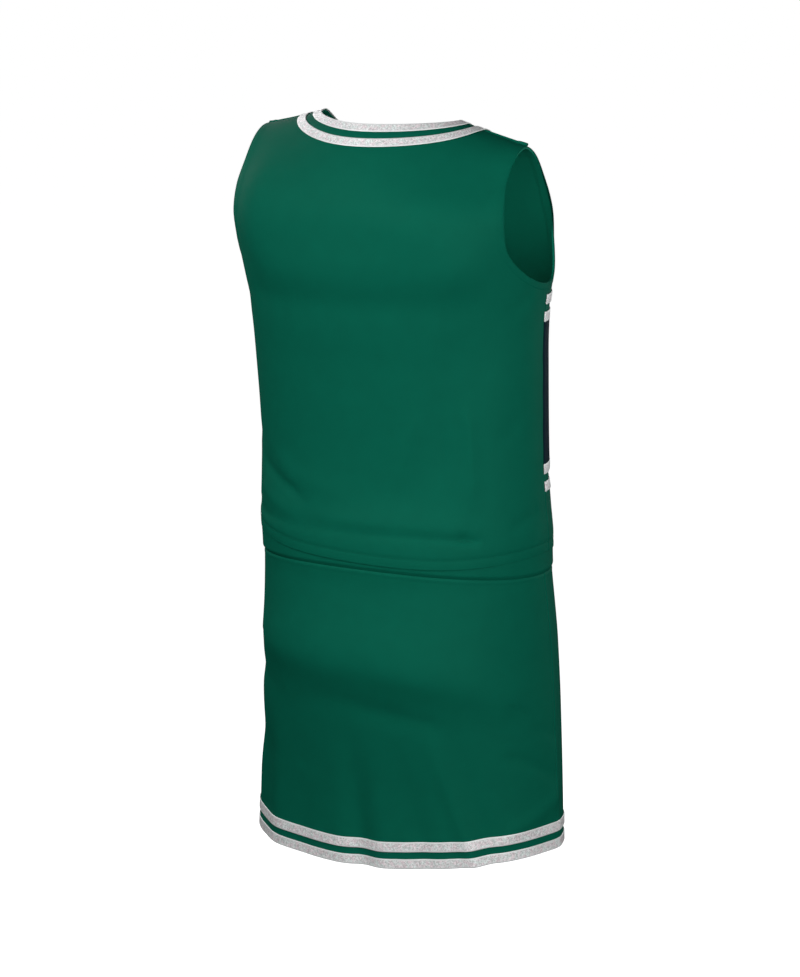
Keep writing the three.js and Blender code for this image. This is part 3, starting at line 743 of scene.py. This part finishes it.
def knit_material(name, colour, roughness):
    """Smooth sports knit: columns of small V stitches with painted shade in the grooves between them, soft
    mottling, a faint sheen, and its inner face painted paler as painted light.
    """
    material, tree, shader = new_material(name)
    place = node(tree, "TexCoord").outputs
    split = node(tree, "SeparateXYZ", {0: place["UV"]}).outputs
    across = maths(tree, "MULTIPLY", split["X"], 1 / KNIT_WALE)
    up = maths(tree, "MULTIPLY", split["Y"], 1 / KNIT_COURSE)
    column = maths(tree, "ABSOLUTE", maths(tree, "SUBTRACT", maths(tree, "FRACT", across), 0.5))
    leg = maths(tree, "SINE", maths(tree, "MULTIPLY", maths(tree, "ADD", up, column), 2 * math.pi))
    groove = maths(tree, "MULTIPLY", maths(tree, "POWER", column, 2.0), KNIT_GROOVE)
    stitches = maths(tree, "ADD", leg, groove)
    slow = node(tree, "TexNoise", {"Vector": place["Object"], **KNIT_CLOUDS}).outputs[0]
    fine = node(tree, "TexNoise", {"Vector": place["Object"], **KNIT_SPECKS}).outputs[0]
    mottle = maths(tree, "ADD", maths(tree, "MULTIPLY", slow, KNIT_CLOUD_SHARE),
                   maths(tree, "MULTIPLY", fine, 1 - KNIT_CLOUD_SHARE))
    cloudy = mixed(tree, mottle, *[tinted(colour, factor) for factor in KNIT_CLOUD_TINTS])
    inside = node(tree, "Attribute", attribute_name="inside").outputs["Fac"]
    # Painted shade: the grooves between the stitch columns are coloured darker, as shade falling in them
    valley = maths(tree, "MULTIPLY", maths(tree, "ADD", stitches, KNIT_VALLEY_LIFT), KNIT_VALLEY_SHARE)
    valley_shaded = mixed(tree, valley, tinted(colour, KNIT_VALLEY_SHADE), cloudy)
    # The inner face is painted paler: painted light in place of light thrown into the garment through its
    # openings
    tree.links.new(mixed(tree, inside, valley_shaded, tinted(colour, INSIDE_PAINTED_LIGHT)), shader.inputs["Base Color"])
    height = maths(tree, "ADD", stitches, maths(tree, "MULTIPLY", fine, KNIT_SPECK_RELIEF))
    bump_node = node(tree, "Bump", {"Height": height, **KNIT_BUMP})
    tree.links.new(bump_node.outputs[0], shader.inputs["Normal"])
    shader.inputs["Roughness"].default_value = roughness
    shader.inputs["Specular IOR Level"].default_value = KNIT_SPECULAR
    return material


def glitter_material(name):
    """Silver tape of small flakes, painted brighter and darker as glints, some tinted, between paler woven
    edges.
    """
    material, tree, shader = new_material(name)
    place = node(tree, "TexCoord").outputs
    split = node(tree, "SeparateXYZ", {0: place["UV"]}).outputs
    flakes = node(tree, "TexVoronoi", {"Vector": place["Object"], "Scale": FLAKE_SCALE}, feature="F1")
    clumps = node(tree, "TexNoise", {"Vector": place["Object"], **FLAKE_CLUMPS}).outputs[0]
    tints = node(tree, "TexNoise", {"Vector": place["Object"], **FLAKE_TINTS})
    spread = node(tree, "SeparateColor", {0: flakes.outputs["Color"]}).outputs
    # Painted glints: flakes and clumps are coloured brighter or darker in the base colour, as if catching
    # or missing the light
    flake_glint = maths(tree, "ADD", maths(tree, "MULTIPLY", spread[0], FLAKE_SHARE),
                  maths(tree, "MULTIPLY", clumps, CLUMP_SHARE))
    grey = mixed(tree, flake_glint, *[tinted(GLITTER, factor) for factor in GLITTER_GLINT_RANGE])
    warm = node(tree, "ValToRGB", {0: tints.outputs[0]})
    for stop, position, colour in zip(warm.color_ramp.elements, TINT_STOPS, (GLITTER_COOL, GLITTER_WARM)):
        stop.position = position
        stop.color = (*colour, 1)
    tinted_grey = node(tree, "Mix", {0: 1.0, 6: grey, 7: warm.outputs[0]}, data_type="RGBA",
                       blend_type="MULTIPLY").outputs[2]
    from_middle = maths(tree, "ABSOLUTE", maths(tree, "SUBTRACT", split["Y"], 0.5))
    is_edge = maths(tree, "GREATER_THAN", from_middle, 0.5 - GLITTER_EDGE / TAPE_WIDTH)
    tree.links.new(mixed(tree, is_edge, tinted_grey, GLITTER_SELVEDGE), shader.inputs["Base Color"])
    height = maths(tree, "SUBTRACT", 1.0, flakes.outputs["Distance"])
    bump_node = node(tree, "Bump", {"Height": height, **GLITTER_BUMP})
    tree.links.new(bump_node.outputs[0], shader.inputs["Normal"])
    dullness = maths(tree, "MULTIPLY", spread[1], FLAKE_ROUGHNESS)
    tree.links.new(maths(tree, "ADD", dullness, GLITTER_ROUGHNESS), shader.inputs["Roughness"])
    shader.inputs["Metallic"].default_value = GLITTER_METALLIC
    shader.inputs["Specular IOR Level"].default_value = GLITTER_SPECULAR
    return material


green_knit = knit_material("green_knit", GREEN, KNIT_ROUGHNESS["green"])
navy_knit = knit_material("navy_knit", NAVY, KNIT_ROUGHNESS["navy"])
glitter_tape = glitter_material("glitter_tape")
green_thread = knit_material("green_thread", tinted(GREEN, THREAD_PALER), KNIT_ROUGHNESS["thread"])


# Pieces

def finish_piece(piece, slot, *nodes):
    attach(piece, "root")
    if nodes:
        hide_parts(*nodes)
    return piece


def half_shares():
    """Places of a half panel's columns, closer together by its side seam."""
    plain = np.linspace(SEAM_SHARES[-1], 1, HALF_COLUMNS - len(SEAM_SHARES) + 2)
    return np.concatenate([SEAM_SHARES, plain[1:]])


def panel_angles(side):
    shares = half_shares()
    half = shares * math.pi / 2
    angles = np.concatenate([half, math.pi - half[::-1][1:]])
    return angles if side > 0 else angles + math.pi


def seam_swing(angle):
    """How far the top's side seams and the bottoms of its armholes sit forward of the body's sides."""
    return -SEAM_FORWARD * np.cos(angle) * bump(np.sin(angle), 0, SEAM_FORWARD_REACH)


def relief(distance, form):
    """Height of a groove or ridge of the sewing at distances from the line that it follows."""
    at, width, depth = form
    return depth * bump(distance, at, width)


def seam_depth(angle, z):
    """The groove and pressed edges of a side seam, with the slight puckers that its thread draws."""
    off = np.abs(np.degrees(np.arcsin(np.clip(np.sin(angle), -1, 1)))) * METRES_PER_DEGREE
    pucker = PUCKER["depth"] * np.sin(z / PUCKER["pitch"]) * bump(off, 0, PUCKER["reach"])
    return relief(off, SEAM_GROOVE) + relief(off, SEAM_RIDGE) + pucker


def turned_hem(distance, width):
    """Lift of a turned hem's outer face: double cloth up to its stitches, which are pulled in."""
    fade_from, fade_to = HEM_PUFF_FADE
    puffed = HEM_PUFF * (1 - smoothstep(distance, width + fade_from, width + fade_to))
    return puffed + relief(distance - width, HEM_THREAD)


def allowance(distance, width):
    """How far the turned-in cloth stands off a hem's inner face."""
    return HEM_ALLOWANCE * (1 - smoothstep(distance, width, width + HEM_ALLOWANCE_FADE))


def along_maps(points):
    """Places on the cloth in metres: round the body from the first column, and height."""
    steps = np.linalg.norm(np.diff(points.mean(0), axis=0), axis=1)
    return np.stack([np.broadcast_to(running_lengths(steps), points.shape[:2]), points[..., 2]], -1)


def top_grid(side):
    """Angles and heights of a top panel's rows and columns, from its hem up to its open edges."""
    angles = panel_angles(side)
    shares = half_shares()
    shares = np.concatenate([shares, shares[::-1][1:]])
    on_left = (np.arange(len(angles)) < HALF_COLUMNS + 1) == (side > 0)
    low = edge_height(TOP_HEM, TOP, angles)
    rows_angle = [angles] * len(HEM_RISE)
    rows_z = [lerp(low, LOW_LEVEL, rise) for rise in HEM_RISE]
    for z in LEVELS:
        rows_angle.append(angles)
        rows_z.append(np.full(len(angles), z))
    over_left, z_left = top_edge(shares, side, 1)
    over_right, z_right = top_edge(shares, side, -1)
    end_over = np.where(on_left, over_left, math.pi - over_right)
    end_angle = end_over if side > 0 else 2 * math.pi - end_over
    end_z = np.where(on_left, z_left, z_right)
    closeness = 1 + np.minimum(1, shares / ARMHOLE_SHARE)
    for row in range(1, YOKE_ROWS + 1):
        rise = 1 - (1 - row / YOKE_ROWS) ** closeness
        rows_angle.append(lerp(angles, end_angle, rise))
        rows_z.append(lerp(YOKE_START, end_z, rise))
    return np.array(rows_angle), np.array(rows_z)


def build_top(side, node_name):
    angle, z = top_grid(side)
    points, normals = cloth(TOP, angle + seam_swing(angle), z)
    from_arm = np.minimum(distance_to(points, armhole_loop(1), ARMHOLE_NEAR),
                          distance_to(points, armhole_loop(-1), ARMHOLE_NEAR))
    from_neck = distance_to(points, neck_curve(), NECK_NEAR)
    from_hem = z - edge_height(TOP_HEM, TOP, angle)
    below_arm = smoothstep(from_arm, *ARMHOLE_CLEAR)
    lift = turned_hem(from_arm, ARMHOLE_HEM) + seam_depth(angle, z) * below_arm
    lift = lift - TOP_HEM_DRAWN_IN * (1 - smoothstep(from_hem, 0, TOP_HEM_DRAWN_REACH))
    lift = lift + relief(from_hem, HEM_RIDGE) + relief(from_hem, HEM_GROOVE)
    lift = lift + relief(from_neck, NECK_STRIPE) + relief(from_neck, NECK_GROOVE)
    depth = CLOTH_WALL + allowance(from_arm, ARMHOLE_ALLOWANCE)
    depth = depth + TOP_ALLOWANCE_SHARE * allowance(from_hem, TOP_ALLOWANCE)
    outer = points + normals * lift[..., None]
    inner = points - normals * depth[..., None]
    piece = wall(node_name + "_cloth", outer, inner, along_maps(points), green_knit)
    return finish_piece(piece, "green_knit", node_name)


def build_laid_band(node_name, low, high, material, slot, thickness):
    """A band or tape that lies level across the top's front."""
    angles = panel_angles(-1)
    z = np.linspace(low + BAND_EDGE, high - BAND_EDGE, 2 + int((high - low) / BAND_ROW))[:, None]
    angle, z = np.broadcast_arrays(angles[None, :], z)
    points, normals = cloth(TOP, angle + seam_swing(angle), z)
    outer = points + normals * (TAPE_LIFT + thickness + seam_depth(angle, z))[..., None]
    inner = points + normals * (TAPE_LIFT + seam_depth(angle, z))[..., None]
    maps = along_maps(points)
    if material is glitter_tape:
        maps = maps.copy()
        maps[..., 1] = np.linspace(0, 1, len(points))[:, None]
    piece = wall(node_name + "_cloth", outer, inner, maps, material)
    return finish_piece(piece, slot, node_name)


def build_neck_tape(node_name, near, far):
    """A tape between two distances from the neck's edge, all the way round."""
    loop = neck_curve()
    distances = np.linspace(far, near, TAPE_ROWS + 1)
    rows = [away_from(loop, distance) for distance in distances]
    points = np.stack([row[0] for row in rows])
    normals = np.stack([row[1] for row in rows])
    share = np.linspace(0, 1, TAPE_ROWS + 1)[:, None]
    raised = sum(relief(share, selvedge) for selvedge in SELVEDGES)
    outer = points + normals * (TAPE_LIFT + TAPE_WALL + raised)[..., None]
    inner = points + normals * TAPE_LIFT
    steps = np.linalg.norm(np.diff(np.concatenate([loop, loop[:1]]), axis=0), axis=1)
    lengths = running_lengths(steps)
    maps = np.stack([np.broadcast_to(lengths, (TAPE_ROWS + 1, len(lengths))),
                     np.broadcast_to(share, (TAPE_ROWS + 1, len(lengths)))], -1)
    piece = wall(node_name + "_cloth", outer, inner, maps, glitter_tape)
    return finish_piece(piece, "glitter_tape", node_name)


def ring_angles():
    return np.concatenate([panel_angles(1)[:-1], panel_angles(-1)[:-1]])


def ring_maps(points, share=None):
    steps = np.linalg.norm(np.roll(points, -1, 1) - points, axis=-1).mean(0)
    lengths = running_lengths(steps)
    heights = points[..., 2] if share is None else np.broadcast_to(share, points.shape[:2])
    heights = np.concatenate([heights, heights[:, :1]], 1)
    return np.stack([np.broadcast_to(lengths, heights.shape), heights], -1)


def build_skirt(side, node_name):
    angles = panel_angles(side)
    low = edge_height(SKIRT_HEM, SKIRT, angles)
    high = edge_height(WAIST_SEAM, SKIRT, angles)
    z = np.stack([lerp(low, high, rise) for rise in SKIRT_RISE])
    angle = np.broadcast_to(angles, z.shape)
    points, normals = cloth(SKIRT, angle, z)
    from_waist = high - z
    lift = seam_depth(angle, z) + relief(from_waist, WAIST_GROOVE) + relief(from_waist, WAIST_RIDGE)
    outer = points + normals * lift[..., None]
    inner = points - normals * CLOTH_WALL
    piece = wall(node_name + "_cloth", outer, inner, along_maps(points), green_knit)
    return finish_piece(piece, "green_knit", node_name)


def build_waistband():
    angles = ring_angles()
    low = edge_height(WAIST_SEAM, SKIRT, angles) + WAISTBAND_SEAM
    high = edge_height(WAISTBAND_TOP, SKIRT, angles)
    z = np.stack([lerp(low, high, rise) for rise in np.linspace(0, 1, WAISTBAND_ROWS)])
    angle = np.broadcast_to(angles, z.shape)
    points, normals = cloth(SKIRT, angle, z)
    from_seam = z - low
    gap = edge_height(TOP_HEM, TOP, angles) - low
    seen = smoothstep(from_seam, *WAISTBAND_RISE) * (1 - smoothstep(from_seam, gap, gap + WAISTBAND_FALL))
    lift = WAISTBAND_LIFT * seen + relief(from_seam, BAND_GROOVE)
    outer = points + normals * lift[..., None]
    inner = points - normals * CLOTH_WALL
    piece = wall("waistband", outer, inner, ring_maps(points), green_knit)
    return finish_piece(piece, "green_knit", "skirt_waistband")


def build_hem_tape(node_name, near, far):
    """A tape between two heights over the skirt's hem, all the way round."""
    angles = ring_angles()
    low = edge_height(SKIRT_HEM, SKIRT, angles)
    share = np.linspace(0, 1, TAPE_ROWS + 1)[:, None]
    z = low + lerp(near, far, share)
    angle = np.broadcast_to(angles, z.shape)
    points, normals = cloth(SKIRT, angle, z)
    raised = sum(relief(share, selvedge) for selvedge in SELVEDGES)
    lift = seam_depth(angle, z) + TAPE_LIFT
    outer = points + normals * (lift + TAPE_WALL + raised)[..., None]
    inner = points + normals * lift[..., None]
    piece = wall(node_name + "_cloth", outer, inner, ring_maps(points, share), glitter_tape)
    return finish_piece(piece, "glitter_tape", node_name)


def build_stitches(name, path, normals):
    """A row of thread stitches along a closed path just above the cloth, as one piece."""
    steps = np.linalg.norm(np.roll(path, -1, 0) - path, axis=1)
    lengths = running_lengths(steps)
    places = np.arange(0, lengths[-1], STITCH_PITCH)
    closed = np.concatenate([path, path[:1]])
    closed_normals = np.concatenate([normals, normals[:1]])
    centres = along_curve(closed, lengths, places)
    upward = unit(along_curve(closed_normals, lengths, places))
    ahead = unit(np.roll(centres, -1, 0) - np.roll(centres, 1, 0))
    ahead = unit(ahead - upward * np.sum(ahead * upward, -1, keepdims=True))
    across = np.cross(upward, ahead)
    turn = np.arange(STITCH_SIDES) * 2 * math.pi / STITCH_SIDES
    polar = math.pi * (np.arange(STITCH_RINGS) + 0.5) / STITCH_RINGS
    ring = np.stack([np.cos(polar)[:, None] * STITCH_HALF_LENGTH * np.ones(STITCH_SIDES),
                     np.sin(polar)[:, None] * STITCH_HALF_WIDTH * np.cos(turn),
                     np.sin(polar)[:, None] * STITCH_HALF_WIDTH * np.sin(turn)], -1).reshape(-1, 3)
    frames = np.stack([ahead, across, upward], 1)
    vertices = (centres[:, None] + ring @ frames).reshape(-1, 3)
    count = len(ring)
    faces = []
    for stitch in range(len(centres)):
        first = stitch * count
        for row in range(STITCH_RINGS - 1):
            for side in range(STITCH_SIDES):
                a = first + row * STITCH_SIDES + side
                b = first + row * STITCH_SIDES + (side + 1) % STITCH_SIDES
                faces.append((a, a + STITCH_SIDES, b + STITCH_SIDES, b))
        faces.append(tuple(first + side for side in range(STITCH_SIDES)))
        last = first + (STITCH_RINGS - 1) * STITCH_SIDES
        faces.append(tuple(last + side for side in range(STITCH_SIDES))[::-1])
    mesh = bpy.data.meshes.new(name)
    mesh.from_pydata(vertices.tolist(), [], faces)
    mesh.polygons.foreach_set("use_smooth", [True] * len(faces))
    mesh.materials.append(green_thread)
    return finish_piece(add_object(name, mesh), "green_knit")


def hem_stitches():
    angles = ring_angles()
    z = edge_height(TOP_HEM, TOP, angles) + HEM_STITCHES_UP
    points, normals = cloth(TOP, angles + seam_swing(angles), z)
    return build_stitches("top_hem_stitches", points - normals * HEM_STITCHES_SUNK, normals)


top_back = build_top(1, "top_back")
top_front = build_top(-1, "top_front")
skirt_back = build_skirt(1, "skirt_back")
skirt_front = build_skirt(-1, "skirt_front")
waistband = build_waistband()
hem_tapes = [
    build_hem_tape("hem_tape_lower", TAPE_INSET, TAPE_WIDTH),
    build_hem_tape("hem_tape_upper", TAPE_PAIR, TAPE_PAIR + TAPE_WIDTH),
]
neck_tapes = [
    build_neck_tape("neck_tape_inner", TAPE_INSET, NECK_TAPE_WIDTH),
    build_neck_tape("neck_tape_outer", NECK_TAPE_WIDTH + NECK_TAPE_SPACING, NECK_TAPES_END),
]
chest_band = build_laid_band("chest_band", CHEST_BAND_BOTTOM, CHEST_BAND_TOP,
                             navy_knit, "navy_knit", CHEST_BAND_WALL)
chest_tapes = [build_laid_band(name, low, low + TAPE_WIDTH, glitter_tape, "glitter_tape", TAPE_WALL)
               for name, low in CHEST_TAPES.items()]
hem_stitches()


# Camera, lights and floor

CAMERA_AZIMUTH = 210
CAMERA_ELEVATION = 12.5
CAMERA_DISTANCE = 3.7
CAMERA_ROLL = -0.5
CAMERA_HEIGHT = -0.385
CAMERA_ASIDE = -0.0066
SENSOR = 36.0
IMAGE_HEIGHT = 977
FOCAL_PIXELS = 3700
FLOOR_HEIGHT = -1.25
FLOOR_REACH = 60
FLOOR_GREY = 0.9
WHITE = (1, 1, 1, 1)

# Soft square lights: name, azimuth, elevation, distance, size and watts
LIGHTS_BEHIND = (
    ("back", 212, 13, 1.5, 1.0, 11),
    ("left", 147, 33, 1.5, 1.0, 15),
    ("right", 240, 10, 1.5, 1.0, 9),
    ("side", 328, 10, 1.5, 1.0, 7),
)
LIGHTS_IN_FRONT = (
    ("front", 60, 25, 1.7, 1.0, 10),
    ("chest", 20, 12, 1.7, 1.0, 8),
)
INNER_LIGHT = {"place": (0.02, 0.01, -0.23), "size": 0.06, "watts": 0.11}


def direction(azimuth, elevation):
    """Outward from the garment; azimuth 0 is in front of the wearer and 90 to the wearer's left."""
    a, e = math.radians(azimuth), math.radians(elevation)
    return Vector((math.sin(a) * math.cos(e), -math.cos(a) * math.cos(e), math.sin(e)))


def add_camera():
    azimuth, roll = math.radians(CAMERA_AZIMUTH), math.radians(CAMERA_ROLL)
    back = direction(CAMERA_AZIMUTH, CAMERA_ELEVATION)
    level = Vector((math.cos(azimuth), math.sin(azimuth), 0))
    above = back.cross(level)
    right = level * math.cos(roll) + above * math.sin(roll)
    up = above * math.cos(roll) - level * math.sin(roll)
    data = bpy.data.cameras.new("camera")
    data.sensor_width = SENSOR
    data.lens = FOCAL_PIXELS * SENSOR / IMAGE_HEIGHT
    camera = add_object("camera", data)
    place = Vector((0, 0, CAMERA_HEIGHT)) + level * CAMERA_ASIDE + back * CAMERA_DISTANCE
    camera.matrix_world = Matrix.Translation(place) @ Matrix((right, up, back)).transposed().to_4x4()
    bpy.context.scene.camera = camera


def add_light(name, azimuth, elevation, distance, size, watts):
    """A square soft light that looks at the garment's middle."""
    data = bpy.data.lights.new(name, "AREA")
    data.shape = "SQUARE"
    data.size = size
    data.energy = watts
    light = add_object(name, data)
    away = direction(azimuth, elevation)
    light.location = Vector((0, 0, CAMERA_HEIGHT)) + away * distance
    light.rotation_euler = away.to_track_quat("Z", "Y").to_euler()
    light.visible_camera = False


def add_inner_light():
    """Faint light inside the garment, as pale surroundings throw in by its openings."""
    data = bpy.data.lights.new("inner", "POINT")
    data.energy = INNER_LIGHT["watts"]
    data.shadow_soft_size = INNER_LIGHT["size"]
    light = add_object("inner", data)
    light.location = INNER_LIGHT["place"]
    light.visible_camera = False


def add_floor():
    """A white floor far below, which lights nothing."""
    mesh = bpy.data.meshes.new("floor")
    corners = [(x * FLOOR_REACH, y * FLOOR_REACH, FLOOR_HEIGHT)
               for x, y in ((-1, -1), (1, -1), (1, 1), (-1, 1))]
    mesh.from_pydata(corners, [], [(0, 1, 2, 3)])
    material, tree, shader = new_material("floor")
    shader.inputs["Base Color"].default_value = (FLOOR_GREY, FLOOR_GREY, FLOOR_GREY, 1)
    shader.inputs["Roughness"].default_value = 0.9
    shader.inputs["Emission Color"].default_value = WHITE
    shader.inputs["Emission Strength"].default_value = 1.0
    mesh.materials.append(material)
    floor = add_object("floor", mesh)
    floor.visible_diffuse = False
    floor.visible_glossy = False


def add_world():
    """White surroundings that the camera sees and that light nothing."""
    world = bpy.data.worlds.new("studio")
    bpy.context.scene.world = world
    world.use_nodes = True
    sky = world.node_tree.nodes["Background"]
    sky.inputs["Color"].default_value = WHITE
    sky.inputs["Strength"].default_value = 1.0
    world.cycles_visibility.diffuse = False
    world.cycles_visibility.glossy = False


add_camera()
add_floor()
add_world()
for row in LIGHTS_BEHIND:
    add_light(*row)
add_inner_light()
for row in LIGHTS_IN_FRONT:
    add_light(*row)
bpy.context.scene.view_settings.view_transform = "Standard"
